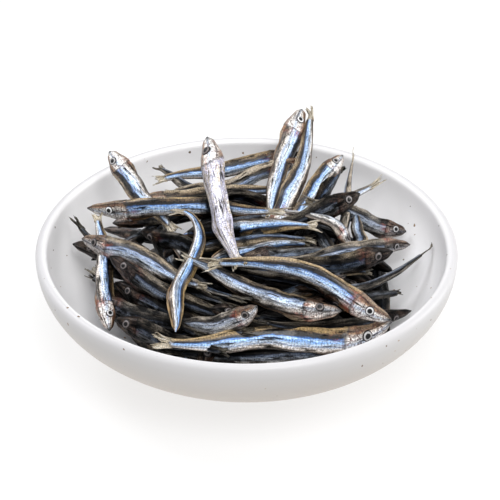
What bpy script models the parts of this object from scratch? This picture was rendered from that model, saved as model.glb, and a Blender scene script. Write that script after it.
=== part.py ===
"""A shallow stoneware bowl filled with a heap of dried anchovies.

Metres, +Z up. The origin is the middle of the foot's underside, and -Y is the front.
The heap is one solid: a core that fills the bowl's lower half, with the fish that show joined to it.
"""

import math

import bmesh
import bpy
import numpy as np

MM = 0.001

# The bowl's sizes
RIM_RADIUS = 80 * MM
BOWL_HEIGHT = 44 * MM
WALL = 4.5 * MM
UNDERSIDE = 2 * MM  # height of the bowl's belly over the table, inside the foot ring
FOOT_OUTER = 38 * MM
FOOT_INNER = 33 * MM
FOOT_EDGE = 0.8 * MM
ROUNDNESS = 2.1  # power of the superellipse that the wall follows, 2 is an ellipse
BOWL_STEPS = 40
WALL_STEPS = 8

LIP_CENTRE = BOWL_HEIGHT - WALL / 2  # the wall ends here and the round lip begins
OUTER = (RIM_RADIUS, LIP_CENTRE - UNDERSIDE)  # half axes of the outer curve
INNER = (RIM_RADIUS - WALL, LIP_CENTRE - UNDERSIDE - WALL)  # and of the inner one

# The heap's core
TOUCH_GAP = 0.3 * MM
CORE_RADIUS = 55 * MM
CORE_TOP = 35 * MM
CORE_STEPS = 20
CLEAR = 0.95 * MM  # fish keep this far from the bowl's true curve, which its flat facets cut into

# An anchovy, as shares of its length and of its greatest depth and width, from snout to tail
STATIONS = (0.0, 0.05, 0.13, 0.22, 0.40, 0.62, 0.80, 0.88, 1.0)
DEPTHS = (0.14, 0.46, 0.78, 0.95, 1.0, 0.82, 0.46, 0.34, 0.80)
WIDTHS = (0.16, 0.52, 0.88, 1.0, 0.95, 0.74, 0.42, 0.28, 0.12)
TAIL_NOTCH = 3 * MM
FISH_DEPTH = 9.6 * MM
FISH_WIDTH = 5.8 * MM
SHOWN_SIDES = 6
FILLER_SIDES = 5
FEW_STATIONS = (0, 1, 3, 4, 5, 7, 8)

# Laying a fish on the heap
SAMPLES = 24
SINK = 0.7  # fish press into each other, to this share of their size
GRIP = 0.42  # and at one place at least to this share, so that the union joins them
FIRMNESS = 0.4  # 1 rests a fish on the highest thing under it, 0 on the average
DEEPEST_FILLER = 4 * MM  # and never lets it lie further behind that highest thing
DEEPEST_SHOWN = 2.5 * MM
STEEPEST = 0.8  # how fast a fish may come nearer along its length
LOWEST = 75 * MM
FLAT_ENOUGH = math.radians(2)  # flatter edges are left out of the joined solid
SHORTEST_EDGE = 0.001 * MM
FILLER_COUNT = 29
FILLER_SCALE = 0.9
FILLER_REACH = 66 * MM  # how far from the middle a filler's ends may lie
SEED = 4

# The heap is drawn as it looks from the front, SIGHT_TILT above the table and SIGHT_REACH away.
# A place on that drawing is millimetres right of and above the middle of the rim.
SIGHT_TILT = math.radians(33.15)
SIGHT_REACH = 620 * MM
RIM_MIDDLE = np.array((0.0, 0.0, BOWL_HEIGHT))
TO_EYE = np.array((0.0, -math.cos(SIGHT_TILT), math.sin(SIGHT_TILT)))
EYE = RIM_MIDDLE + SIGHT_REACH * TO_EYE
DRAWN_UP = np.array((0.0, math.sin(SIGHT_TILT), math.cos(SIGHT_TILT)))
UP = np.array((0.0, 0.0, 1.0))

# The fish that show, the lowest first: points from snout to tail, how far round the back is turned
# (0 to the right of the heading, 90 to the viewer, 180 to its left), and the depth's scale.
SHOWN = {
    "low_left": ([(-40, 3), (-28, -1), (-16, -5), (-2, -9)], 30, 0.9),
    "low_middle": ([(-24, -7), (-12, -13), (2, -21), (14, -26), (26, -30)], 25, 0.95),
    "low_right": ([(-2, -7), (12, -6), (26, -5), (44, -6)], 160, 0.85),
    "low_far_right": ([(8, -15), (24, -13), (38, -12), (50, -12.5)], 150, 0.8),
    "low_front": ([(-14, -26), (4, -30), (20, -33), (40, -36)], 150, 0.9),
    "low_front_left": ([(-50, -30), (-36, -36), (-22, -40), (-4, -43)], 30, 0.95),
    "back_tail": ([(-12, 12), (-22, 20), (-29, 25), (-35, 28.5)], 60, 0.8),
    "back_blue": ([(20, 33), (8, 30), (-6, 26.5), (-21, 24.5), (-38, 22)], 175, 0.9),
    "back_lilac": ([(22, 30), (6, 25.5), (-6, 20), (-20, 19), (-34, 17)], 150, 0.9),
    "back_pale": ([(-44, 14), (-28, 15), (-14, 16.5), (4, 18.5), (20, 19)], 20, 0.9),
    "back_black": ([(14, 10), (5, 14.5), (-5, 17), (-18, 15), (-33, 14)], 120, 0.85),
    "dark_diagonal": ([(20, 0), (27, 13), (33, 23), (37.5, 30)], 20, 0.9),
    "fan_tail": ([(34, -6), (37, 8), (39, 22), (40.5, 33.5)], 90, 0.75),
    "upright_tail": ([(8, -2), (15, 13), (20, 24), (23.5, 38), (24.7, 52.5)], 0, 1.0),
    "upright_head": ([(21.3, 50), (16.5, 38), (12.5, 30), (10, 18), (8, 2)], -8, 1.05),
    "leaning_left": ([(-52, 33.5), (-47, 27), (-42, 20), (-36, 13), (-26, 2)], 185, 1.0),
    "left_tip": ([(-66, -1.5), (-54, -5), (-40, -11), (-20, -20), (-2, -27)], 10, 0.9),
    "left_up_tail": ([(-28, -24), (-45, -10), (-58, 0), (-66.5, 9)], 30, 0.8),
    "left_small_tail": ([(-18, -32), (-36, -24), (-52, -17), (-63.5, -12)], 30, 0.8),
    "dark_left_upper": ([(-52, -6), (-40, -15), (-28, -22), (-12, -28), (6, -30)], 20, 0.9),
    "dark_left_lower": ([(-50, -16), (-40, -22), (-28, -29), (-12, -34), (6, -35)], 20, 0.9),
    "red_head": ([(4, -25), (-3, -30), (-16, -33), (-34, -31)], 160, 0.9),
    "right_long_tail": ([(18, -18), (40, -19), (53, -14), (62, -9), (72, -1.5)], 110, 0.7),
    "right_cut_tail": ([(20, -26), (40, -23), (52, -20.5), (62, -19.5)], 150, 0.8),
    "right_low_head": ([(62.5, -27), (54, -29.5), (38, -33), (18, -33), (0, -30)], 130, 0.85),
    "bent_head": ([(36.5, 32), (31, 26), (26, 19), (20, 10), (12, 0)], 180, 0.9),
    "far_right_tail": ([(6, 2), (24, 8), (38, 15), (46, 19), (52, 23.5)], 20, 0.75),
    "right_upper_head": ([(60.5, 3), (52, 4), (44, 7), (34, 12), (20, 15)], 170, 0.9),
    "dark_eye_head": ([(43, 17.5), (35, 13.5), (26, 9.5), (12, 4), (-4, 0)], 165, 1.0),
    "right_upright": ([(44, -8), (42, 2), (40.5, 13)], 170, 0.7),
    "right_lower_head": ([(62, -2), (51, -3), (42, -4), (28, -7), (8, -8)], 160, 0.85),
    "grey_scaled": ([(-20, -4), (-4, -1), (12, 0.5), (22, 0.5), (28, 0)], 120, 0.85),
    "blue_fine": ([(-14, -8), (-2, -5), (10, -2), (21, -1.5), (27, -2.5)], 165, 0.85),
    "dark_pointed": ([(55.5, -4.5), (46, -7), (36, -9.5), (20, -11), (-4, -12)], 160, 1.05),
    "pink_head": ([(39, -3.5), (37, 1), (32, 6), (24, 9), (10, 11)], 250, 0.8),
    "blue_scaled": ([(-24, 2), (-6, 4), (12, 6), (24, 5.5), (30, 5)], 160, 0.9),
    "dark_front": ([(-57, -22), (-46, -28), (-36, -31), (-24, -33.5), (-14, -38)], 25, 1.0),
    "left_upright": ([(-52, -34.5), (-54, -22), (-54, -8), (-56, 5), (-56.5, 13)], 190, 0.9),
    "left_brown_head": ([(-62.5, 0.5), (-53, -2.5), (-45, -5), (-30, -13), (-12, -19)], 5, 1.0),
    "long_white_eye": ([(-60.5, 12), (-52, 11.5), (-44, 11), (-20, 12), (2, 10.5), (18, 10.5)], 15, 1.0),
    "brown_head": ([(36, -27), (20, -26.5), (8, -22.5), (-4, -17), (-18, -9.5), (-28, -5)], 188, 1.0),
    "dark_back": ([(40, -27), (33.5, -21.5), (25, -16.5), (8, -13.5), (-12, -10)], 110, 0.9),
    "front_lowest": ([(44, -41), (26, -43.5), (6, -44.5), (-14, -44.5), (-34, -42)], 170, 0.8),
    "front_long": (
        [(55, -31), (46, -36), (38, -38), (24, -38.5), (8, -38), (-14, -39.5), (-30, -39), (-41, -37)],
        165,
        1.2,
    ),
    "white_head": ([(55, -30.5), (46.5, -27), (37, -21.5), (22, -12.5), (8, -9), (-8, -9), (-20, -10)], 155, 1.05),
    "hooked": (
        [(-27, -35), (-27, -22), (-25, -15), (-20.5, -6), (-18, 1), (-19.5, 7), (-24, 10.5), (-31, 10)],
        195,
        0.75,
    ),
    "upright_middle": ([(-15, 39), (-13, 30), (-11, 19), (-8.5, 6.5), (-6, -2), (-1, -14)], 205, 1.15),
}


def unit(v):
    return v / np.linalg.norm(v, axis=-1, keepdims=True)


def bowl_curve(half_axes, share):
    """(radius, height) on a wall curve: share 0 is at the axis and 1 at the lip."""
    angle = share * math.pi / 2
    across, down = half_axes
    return (
        across * math.sin(angle) ** (2 / ROUNDNESS),
        LIP_CENTRE - down * math.cos(angle) ** (2 / ROUNDNESS),
    )


def curve_height(half_axes, radius):
    """Height of a wall curve at a radius."""
    across, down = half_axes
    share = np.clip(radius / across, 0, 1) ** ROUNDNESS
    return LIP_CENTRE - down * (1 - share) ** (1 / ROUNDNESS)


def kept_in_bowl(points, margin=0.0):
    """The points, with any that would touch the bowl moved in to lie CLEAR and a margin off its wall."""
    across, down = (half - CLEAR - margin for half in INNER)
    out = np.array(points, float)
    radius = np.hypot(out[:, 0], out[:, 1])
    below = np.maximum(LIP_CENTRE - out[:, 2], 0)
    past = (radius / across) ** ROUNDNESS + (below / down) ** ROUNDNESS
    scale = np.where(past > 1, past ** (-1 / ROUNDNESS), 1.0)
    out[:, :2] *= scale[:, None]
    out[:, 2] = np.where(below > 0, LIP_CENTRE - below * scale, out[:, 2])
    return out


def core_height(radius):
    """Height of the core's domed top."""
    edge = curve_height(INNER, CORE_RADIUS)
    return edge + (CORE_TOP - edge) * np.clip(1 - (radius / CORE_RADIUS) ** 2, 0, 1)


def ground_height(points):
    """Height of what lies under the first fish: the core, or the bowl's wall outside it."""
    radius = np.hypot(points[..., 0], points[..., 1])
    wall = np.where(radius < INNER[0], curve_height(INNER, radius), -1.0)
    return np.where(radius < CORE_RADIUS, core_height(radius), wall)


def smooth_path(points, count):
    """A Catmull-Rom curve through the points, read at evenly spaced places."""
    p = np.array(points, float)
    p = np.vstack([2 * p[0] - p[1], p, 2 * p[-1] - p[-2]])
    fine = []
    for a, b, c, d in zip(p, p[1:], p[2:], p[3:]):
        for t in np.linspace(0, 1, 16, endpoint=False):
            fine.append(
                0.5 * (2 * b + (c - a) * t + (2 * a - 5 * b + 4 * c - d) * t**2 + (3 * b - a - 3 * c + d) * t**3)
            )
    fine = np.array(fine + [p[-2]])
    run = np.concatenate([[0], np.cumsum(np.linalg.norm(np.diff(fine, axis=0), axis=1))])
    at = np.linspace(0, run[-1], count)
    return np.stack([np.interp(at, run, fine[:, k]) for k in range(p.shape[1])], axis=1)


def half_sizes(at, scale):
    """Half the depth and half the width of a fish at shares of its length."""
    return (
        np.interp(at, STATIONS, DEPTHS) * FISH_DEPTH * scale / 2,
        np.interp(at, STATIONS, WIDTHS) * FISH_WIDTH * scale / 2,
    )


def frames(spine, towards, turn):
    """The directions of the back and of one flank along a spine, turned from the way that it faces."""
    heading = -unit(np.gradient(spine, axis=0))
    facing = unit(towards - (towards * heading).sum(1, keepdims=True) * heading)
    right = np.cross(heading, facing)
    angle = math.radians(turn)
    back = math.cos(angle) * right + math.sin(angle) * facing
    return back, np.cross(back, heading)


def reach_ground(spine, towards, radii, bare):
    """How far each point of a spine has to come along its direction to clear the core, and the wall unless bare."""
    steps = np.arange(-LOWEST, LOWEST, 1 * MM)
    tried = spine[:, None] + towards[:, None] * steps[None, :, None]
    under = tried[..., 2] < ground_height(tried) + radii[:, None]
    if bare:
        under &= np.hypot(tried[..., 0], tried[..., 1]) < CORE_RADIUS
    last = np.where(under.any(1), under.shape[1] - 1 - np.argmax(under[:, ::-1], axis=1), 0)
    return steps[last]


def reach_laid(spine, towards, radii, laid, firmness):
    """How far each point of a spine has to come along its direction to clear a share of the laid fish's size."""
    if not laid:
        return np.full(len(spine), -LOWEST)
    centres = np.concatenate([c for c, _ in laid])
    sizes = np.concatenate([r for _, r in laid])
    offset = centres[None] - spine[:, None]
    along = (offset * towards[:, None]).sum(2)
    apart = (offset**2).sum(2) - along**2
    reach = ((radii[:, None] + sizes[None]) * firmness) ** 2
    return np.where(apart < reach, along + np.sqrt(np.maximum(reach - apart, 0)), -LOWEST).max(1)


def lay(flat, towards, scale, deepest, laid):
    """Brings a flat spine to rest, slanted to follow what lies under it, and adds it to what is laid."""
    at = np.linspace(0, 1, SAMPLES)
    half_depth, half_width = half_sizes(at, scale)
    radii = 0.35 * half_depth + 0.65 * half_width
    need = np.maximum(reach_laid(flat, towards, radii, laid, SINK), reach_ground(flat, towards, radii, False))
    grip = np.maximum(reach_laid(flat, towards, radii, laid, GRIP), reach_ground(flat, towards, radii * GRIP, True))
    held = need > -LOWEST + 2 * MM
    length = np.linalg.norm(np.diff(flat, axis=0), axis=1).sum()
    slope = np.polyfit(at[held], need[held], 1)[0]
    slope = float(np.clip(slope, -STEEPEST * length, STEEPEST * length))
    over = (need - slope * at)[2:-2][held[2:-2]]
    lift = max((1 - FIRMNESS) * over.mean() + FIRMNESS * over.max(), over.max() - deepest)
    lift = min(lift, float((grip - slope * at)[2:-2].max()))
    spine = kept_in_bowl(flat + towards * (slope * at + lift)[:, None], half_width)
    laid.append((spine[1:-1], radii[1:-1]))
    return spine


def drawn_fish(points, turn, scale, laid):
    """(spine, back, flank) of a fish drawn as it looks from the front."""
    drawn = smooth_path(points, SAMPLES) * MM
    flat = RIM_MIDDLE + drawn[:, :1] * np.array((1.0, 0, 0)) + drawn[:, 1:] * DRAWN_UP
    towards = unit(EYE - flat)
    spine = lay(flat, towards, scale, DEEPEST_SHOWN, laid)
    return spine, *frames(spine, towards, turn)


def filler_fish(chance, laid):
    """(spine, back, flank) of a fish dropped on the heap where nothing particular shows."""
    share = np.linspace(-0.5, 0.5, SAMPLES)
    while True:
        middle = np.array((chance.uniform(-1, 1), chance.uniform(-0.6, 1), 0)) * FILLER_REACH
        heading = chance.uniform(0, 2 * math.pi)
        length = chance.uniform(62, 80) * MM
        along = np.array((math.cos(heading), math.sin(heading), 0))
        across = np.cross(UP, along)
        bend = chance.normal(0, 0.05) * length
        flat = middle + share[:, None] * length * along + (1 - 4 * share[:, None] ** 2) * bend * across
        if np.hypot(flat[:, 0], flat[:, 1]).max() < FILLER_REACH:
            break
    towards = np.tile(UP, (SAMPLES, 1))
    spine = lay(flat, towards, FILLER_SCALE, DEEPEST_FILLER, laid)
    return spine, *frames(spine, towards, chance.choice((0, 180)) + chance.normal(0, 10))


def fish_mesh(name, spine, back, flank, scale, sides):
    """A closed fish: rings of points round the spine, joined by quads, with a forked tail."""
    along = np.linspace(0, 1, len(spine))
    made = bmesh.new()
    rings = []
    for k in FEW_STATIONS:
        at = STATIONS[k]
        middle, up, side = (np.array([np.interp(at, along, v[:, i]) for i in range(3)]) for v in (spine, back, flank))
        half_depth, half_width = half_sizes(at, scale)
        rearward = unit(np.cross(up, side))
        if rearward @ (spine[-1] - spine[-2]) < 0:
            rearward = -rearward
        ring = []
        for i in range(sides):
            angle = 2 * math.pi * i / sides
            point = middle + up * half_depth * math.cos(angle) + side * half_width * math.sin(angle)
            if at == 1:
                point = point - rearward * TAIL_NOTCH * (1 - abs(math.cos(angle)))
            ring.append(point)
        rings.append([made.verts.new(p) for p in kept_in_bowl(ring)])
    for fore, aft in zip(rings, rings[1:]):
        for i in range(sides):
            made.faces.new((fore[i], fore[i - 1], aft[i - 1], aft[i]))
    made.faces.new(rings[0])
    made.faces.new(rings[-1][::-1])
    bmesh.ops.triangulate(made, faces=made.faces)
    bmesh.ops.recalc_face_normals(made, faces=made.faces)
    mesh = bpy.data.meshes.new(name)
    made.to_mesh(mesh)
    made.free()
    return mesh


def turned(name, profile, steps, collection):
    """An object turned from a profile of (radius, height) points that starts and ends on the axis."""
    mesh = bpy.data.meshes.new(name)
    mesh.from_pydata([(r, 0, z) for r, z in profile], [(i, i + 1) for i in range(len(profile) - 1)], [])
    made = bpy.data.objects.new(name, mesh)
    collection.objects.link(made)
    screw = made.modifiers.new("Turn", "SCREW")
    screw.steps = screw.render_steps = steps
    screw.use_merge_vertices = True
    screw.merge_threshold = 0.00005
    screw.use_normal_calculate = True
    return made


def material(name, colour, roughness, metallic=0.0):
    made = bpy.data.materials.new(name)
    made.use_nodes = True
    shader = made.node_tree.nodes["Principled BSDF"]
    shader.inputs["Base Color"].default_value = (*colour, 1)
    shader.inputs["Roughness"].default_value = roughness
    shader.inputs["Metallic"].default_value = metallic
    return made


def bowl(collection):
    """The bowl: inner curve, round lip, outer curve, foot ring and the belly inside the ring."""
    profile = [bowl_curve(INNER, i / WALL_STEPS) for i in range(WALL_STEPS + 1)]
    lip_radius = RIM_RADIUS - WALL / 2
    for degrees in (135, 90, 45):
        angle = math.radians(degrees)
        profile.append((lip_radius + WALL / 2 * math.cos(angle), LIP_CENTRE + WALL / 2 * math.sin(angle)))
    shares = [1 - i / WALL_STEPS for i in range(WALL_STEPS)]
    profile += [p for p in (bowl_curve(OUTER, s) for s in shares) if p[0] > FOOT_OUTER + 2 * MM]
    profile += [
        (FOOT_OUTER, float(curve_height(OUTER, FOOT_OUTER))),
        (FOOT_OUTER, FOOT_EDGE),
        (FOOT_OUTER - FOOT_EDGE, 0),
        (FOOT_INNER + FOOT_EDGE, 0),
        (FOOT_INNER, FOOT_EDGE),
        (FOOT_INNER, float(curve_height(OUTER, FOOT_INNER))),
        (FOOT_INNER / 2, float(curve_height(OUTER, FOOT_INNER / 2))),
        (0, UNDERSIDE),
    ]
    made = turned("bowl", profile, BOWL_STEPS, collection)
    made.data.materials.append(material("glazed stoneware", (0.72, 0.70, 0.67), 0.35))
    return made


def core(collection):
    """The heap's hidden middle: it fits the bowl's inside below, and has a domed top."""
    profile = [(0.0, float(core_height(0.0)))]
    profile += [(r, float(core_height(r)) - TOUCH_GAP) for r in (0.5 * CORE_RADIUS, 0.8 * CORE_RADIUS)]
    across, down = (half - TOUCH_GAP for half in INNER)
    for i in range(WALL_STEPS, -1, -1):
        radius, height = bowl_curve((across, down), i / WALL_STEPS)
        if radius < CORE_RADIUS:
            profile.append((radius, height))
    made = turned("anchovy_heap", profile, CORE_STEPS, collection)
    made.data.materials.append(material("dried fish", (0.16, 0.15, 0.15), 0.4))
    return made


def biggest_body(mesh):
    """Keeps the mesh's largest connected body, so that scraps and sealed hollows are gone."""
    made = bmesh.new()
    made.from_mesh(mesh)
    made.faces.ensure_lookup_table()
    left, bodies = set(made.faces), []
    while left:
        start = left.pop()
        body, edge = [start], [start]
        while edge:
            for side in edge.pop().edges:
                for face in side.link_faces:
                    if face in left:
                        left.remove(face)
                        body.append(face)
                        edge.append(face)
        bodies.append(body)
    bodies.sort(key=len)
    dropped = [face for body in bodies[:-1] for face in body]
    bmesh.ops.delete(made, geom=dropped, context="FACES")
    bmesh.ops.dissolve_limit(made, angle_limit=FLAT_ENOUGH, verts=made.verts, edges=made.edges)
    bmesh.ops.triangulate(made, faces=made.faces)
    bmesh.ops.dissolve_degenerate(made, dist=SHORTEST_EDGE, edges=made.edges)
    made.to_mesh(mesh)
    made.free()


def heap(collection):
    """The core with all the fish joined to it by one Boolean union."""
    made = core(collection)
    fish = bpy.data.collections.new("fish to join")
    bpy.context.scene.collection.children.link(fish)
    chance = np.random.RandomState(SEED)
    laid = []
    for i in range(FILLER_COUNT):
        name = f"filler_{i}"
        mesh = fish_mesh(name, *filler_fish(chance, laid), FILLER_SCALE, FILLER_SIDES)
        fish.objects.link(bpy.data.objects.new(name, mesh))
    for name, (points, turn, scale) in SHOWN.items():
        placed = drawn_fish(points, turn, scale, laid)
        mesh = fish_mesh(name, *placed, scale, SHOWN_SIDES)
        fish.objects.link(bpy.data.objects.new(name, mesh))
    union = made.modifiers.new("Join fish", "BOOLEAN")
    union.operation = "UNION"
    union.operand_type = "COLLECTION"
    union.collection = fish
    union.solver = "MANIFOLD"
    graph = bpy.context.evaluated_depsgraph_get()
    mesh = bpy.data.meshes.new_from_object(made.evaluated_get(graph))
    made.modifiers.clear()
    made.data = mesh
    for joined in list(fish.objects):
        bpy.data.objects.remove(joined)
    bpy.data.collections.remove(fish)
    biggest_body(mesh)
    return made


def main():
    for old in list(bpy.data.objects):
        bpy.data.objects.remove(old)
    dish = bpy.data.collections.new("bowl of dried anchovies")
    bpy.context.scene.collection.children.link(dish)
    bowl(dish)
    heap(dish)


main()
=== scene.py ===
# Dried anchovies heaped in a speckled stoneware bowl
# Every length is in metres, z is up, and the front of the bowl is at -y

import math

import bpy
import numpy as np
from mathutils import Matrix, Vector


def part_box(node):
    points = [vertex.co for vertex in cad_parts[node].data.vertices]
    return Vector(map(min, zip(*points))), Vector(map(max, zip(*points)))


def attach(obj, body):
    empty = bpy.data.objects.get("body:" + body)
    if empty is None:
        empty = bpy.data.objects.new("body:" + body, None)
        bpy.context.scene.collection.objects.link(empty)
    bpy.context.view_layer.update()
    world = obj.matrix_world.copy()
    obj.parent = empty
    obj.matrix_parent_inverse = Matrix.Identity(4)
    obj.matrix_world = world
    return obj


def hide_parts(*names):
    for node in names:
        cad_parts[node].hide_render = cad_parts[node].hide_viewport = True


mm = 0.001
up = np.array((0.0, 0.0, 1.0))

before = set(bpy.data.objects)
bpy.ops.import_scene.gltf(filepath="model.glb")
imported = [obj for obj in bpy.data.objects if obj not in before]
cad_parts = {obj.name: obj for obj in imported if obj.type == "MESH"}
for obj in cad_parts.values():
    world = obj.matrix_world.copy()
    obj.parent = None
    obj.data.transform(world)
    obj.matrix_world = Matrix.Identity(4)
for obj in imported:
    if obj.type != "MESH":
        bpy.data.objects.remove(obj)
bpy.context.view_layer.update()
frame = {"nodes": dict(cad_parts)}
bpy.ops.object.select_all(action="DESELECT")
print("frame loaded:", ", ".join(frame["nodes"]))

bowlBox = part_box("bowl")
rimHeight = bowlBox[1][2]
rimRadius = (bowlBox[1][0] - bowlBox[0][0]) / 2
rimMiddle = np.array((0.0, 0.0, rimHeight))


# Small helpers. Most that take a tree add one node to a material and give back its output.

def toLinear(hexColour):
    parts = [int(hexColour[i : i + 2], 16) / 255 for i in (1, 3, 5)]
    return tuple(c / 12.92 if c <= 0.04045 else ((c + 0.055) / 1.055) ** 2.4 for c in parts)


def addNode(tree, kind, inputs=None, stops=None, **settings):
    # a node with its settings, its inputs as values, hex colours or links, and a ramp's (place, colour) stops
    made = tree.nodes.new("ShaderNode" + kind)
    for name, value in settings.items():
        setattr(made, name, value)
    for name, value in (inputs or {}).items():
        if isinstance(value, str):
            value = (*toLinear(value), 1)
        if isinstance(value, bpy.types.NodeSocket):
            tree.links.new(value, made.inputs[name])
        else:
            made.inputs[name].default_value = value
    if stops:
        points = made.color_ramp.elements
        while len(points) < len(stops):
            points.new(1.0)
        for point, (place, colour) in zip(points, stops):
            point.position = place
            point.color = (*toLinear(colour), 1) if isinstance(colour, str) else (colour,) * 3 + (1,)
    return made


def newMaterial(name):
    made = bpy.data.materials.new(name)
    made.use_nodes = True
    made.node_tree.nodes.clear()
    return made, made.node_tree


def addSurface(tree, inputs):
    shader = addNode(tree, "BsdfPrincipled", inputs)
    addNode(tree, "OutputMaterial", {"Surface": shader.outputs[0]})


def attribute(tree, name, output="Vector"):
    return addNode(tree, "Attribute", attribute_name=name).outputs[output]


def axes(tree, vector):
    return addNode(tree, "SeparateXYZ", {"Vector": vector}).outputs


def noise(tree, place, scale, detail, roughness=0.5, output="Fac"):
    inputs = {"Vector": place, "Scale": scale, "Detail": detail, "Roughness": roughness}
    return addNode(tree, "TexNoise", inputs).outputs[output]


def cellEdges(tree, place, scale, randomness):
    inputs = {"Vector": place, "Scale": scale, "Randomness": randomness}
    return addNode(tree, "TexVoronoi", inputs, feature="DISTANCE_TO_EDGE").outputs["Distance"]


def ramp(tree, value, stops):
    return addNode(tree, "ValToRGB", {"Fac": value}, stops=stops).outputs["Color"]


def rescaled(tree, value, low, high, toLow=0.0, toHigh=1.0):
    # low to high becomes toLow to toHigh, and what is past either end stays at it
    inputs = {"Value": value, "From Min": low, "From Max": high, "To Min": toLow, "To Max": toHigh}
    return addNode(tree, "MapRange", inputs).outputs["Result"]


def mixed(tree, factor, first, second):
    inputs = {"Factor": factor, "A": first, "B": second}
    return addNode(tree, "Mix", inputs, data_type="RGBA").outputs["Result"]


def calculate(tree, operation, first, second):
    return addNode(tree, "Math", {0: first, 1: second}, operation=operation).outputs[0]


def stretched(tree, vector, factors):
    return addNode(tree, "VectorMath", {0: vector, 1: factors}, operation="MULTIPLY").outputs[0]


def scaled(tree, vector, factor):
    return addNode(tree, "VectorMath", {0: vector, "Scale": factor}, operation="SCALE").outputs[0]


def bumped(tree, height, strength, distance):
    inputs = {"Height": height, "Strength": strength, "Distance": distance}
    return addNode(tree, "Bump", inputs).outputs["Normal"]


def unit(v):
    return v / np.linalg.norm(v, axis=-1, keepdims=True)


def easeIn(low, high, value):
    t = np.clip((value - low) / (high - low), 0, 1)
    return t * t * (3 - 2 * t)


def bell(value, middle, width):
    # 1 in the middle and next to nothing two widths away
    return np.exp(-(((value - middle) / width) ** 2))


def readPoints(thing):
    points = np.empty(len(thing.data.vertices) * 3)
    thing.data.vertices.foreach_get("co", points)
    return points.reshape(-1, 3)


def writePoints(thing, *columns):
    thing.data.vertices.foreach_set("co", np.stack(columns, axis=1).ravel())


def faceOutward():
    # leaves the active object smooth and its normals outward
    bpy.ops.object.mode_set(mode="EDIT")
    bpy.ops.mesh.select_all(action="SELECT")
    bpy.ops.mesh.normals_make_consistent(inside=False)
    bpy.ops.object.mode_set(mode="OBJECT")
    bpy.ops.object.shade_smooth()


# Camera, set to look as the photograph does

view = {
    "tilt": math.radians(33.15),  # above the table
    "reach": 620 * mm,  # from the eye to the middle of the rim
    "aim": (1.25 * mm, 0.0, -4.7 * mm),  # from the middle of the rim
    "lens": 117.9,
    "sensor": 36,
}
toEye = np.array((0.0, -math.cos(view["tilt"]), math.sin(view["tilt"])))
drawnUp = np.array((0.0, math.sin(view["tilt"]), math.cos(view["tilt"])))
eyePlace = rimMiddle + view["reach"] * toEye


def addCamera():
    bpy.ops.object.camera_add(location=eyePlace)
    camera = bpy.context.object
    aim = Vector(rimMiddle + np.array(view["aim"]))
    camera.rotation_euler = (aim - camera.location).to_track_quat("-Z", "Y").to_euler()
    camera.data.lens = view["lens"]
    camera.data.sensor_width = view["sensor"]
    camera.data.clip_start = 0.01
    bpy.context.scene.camera = camera


# Soft studio light on a pale floor

studio = {
    "floorWidth": 6.0,
    "floorDrop": 0.3 * mm,
    "floorGlow": 0.7,  # share of its white that doesn't depend on the lamps
    "white": "#FFFFFF",
    "skyStrength": 0.5,
    # name: (place, size, watts, colour)
    "lamps": {
        "softboxRight": ((0.75, 0.15, 0.35), 0.4, 2.8, "#FFFFFF"),
        "softboxLeft": ((-0.55, 0.35, 0.72), 0.4, 3.4, "#FAFBFF"),
        "softboxFront": ((0.15, -0.5, 0.75), 0.45, 4.3, "#FFFFFF"),
        "softboxTop": ((0.0, 0.1, 0.95), 0.5, 1.6, "#FFFFFF"),
    },
}


def addStudio():
    bpy.ops.mesh.primitive_plane_add(size=studio["floorWidth"], location=(0, 0, -studio["floorDrop"]))
    floor = bpy.context.object
    floor.name = "floor"
    material, tree = newMaterial("white paper sweep")
    paper = addNode(tree, "BsdfPrincipled", {"Base Color": studio["white"], "Roughness": 0.9})
    glow = addNode(tree, "Emission", {"Color": studio["white"], "Strength": 1.0})
    blend = {0: studio["floorGlow"], 1: paper.outputs[0], 2: glow.outputs[0]}
    surface = addNode(tree, "MixShader", blend)
    addNode(tree, "OutputMaterial", {"Surface": surface.outputs[0]})
    floor.data.materials.append(material)
    world = bpy.data.worlds.new("studio")
    world.use_nodes = True
    back = world.node_tree.nodes["Background"]
    back.inputs["Color"].default_value = (*toLinear(studio["white"]), 1)
    back.inputs["Strength"].default_value = studio["skyStrength"]
    bpy.context.scene.world = world
    for name, (place, size, watts, colour) in studio["lamps"].items():
        bpy.ops.object.light_add(type="AREA", location=place)
        lamp = bpy.context.object
        lamp.name = name
        lamp.data.size = size
        lamp.data.energy = watts
        lamp.data.color = toLinear(colour)
        lamp.rotation_euler = (Vector(rimMiddle) - lamp.location).to_track_quat("-Z", "Y").to_euler()
    bpy.context.scene.view_settings.view_transform = "Standard"


addCamera()
addStudio()
print("camera and light set")


# The bowl

bowlShape = {
    "wall": 4.5 * mm,
    "underside": 2 * mm,  # height of the belly inside the foot ring
    "footOuter": 38 * mm,
    "footInner": 33 * mm,
    "footEdge": 0.8 * mm,
    "around": 96,
    "down": 14,
    "overLip": 8,
    "footFillet": 1.5 * mm,
    "footSlope": 0.5 * mm,
    "unevenness": 0.12 * mm,
}
bowlPower = 2.1  # of the superellipse that the wall follows
lipCentre = rimHeight - bowlShape["wall"] / 2
outerCurve = (rimRadius, lipCentre - bowlShape["underside"])
innerCurve = (rimRadius - bowlShape["wall"], lipCentre - bowlShape["underside"] - bowlShape["wall"])


def curveHeight(halfAxes, radius):
    share = np.clip(radius / halfAxes[0], 0, 1) ** bowlPower
    return lipCentre - halfAxes[1] * (1 - share) ** (1 / bowlPower)


def curvePoint(halfAxes, share):
    angle = share * math.pi / 2
    across, down = math.sin(angle) ** (2 / bowlPower), math.cos(angle) ** (2 / bowlPower)
    return halfAxes[0] * across, lipCentre - halfAxes[1] * down


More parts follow.
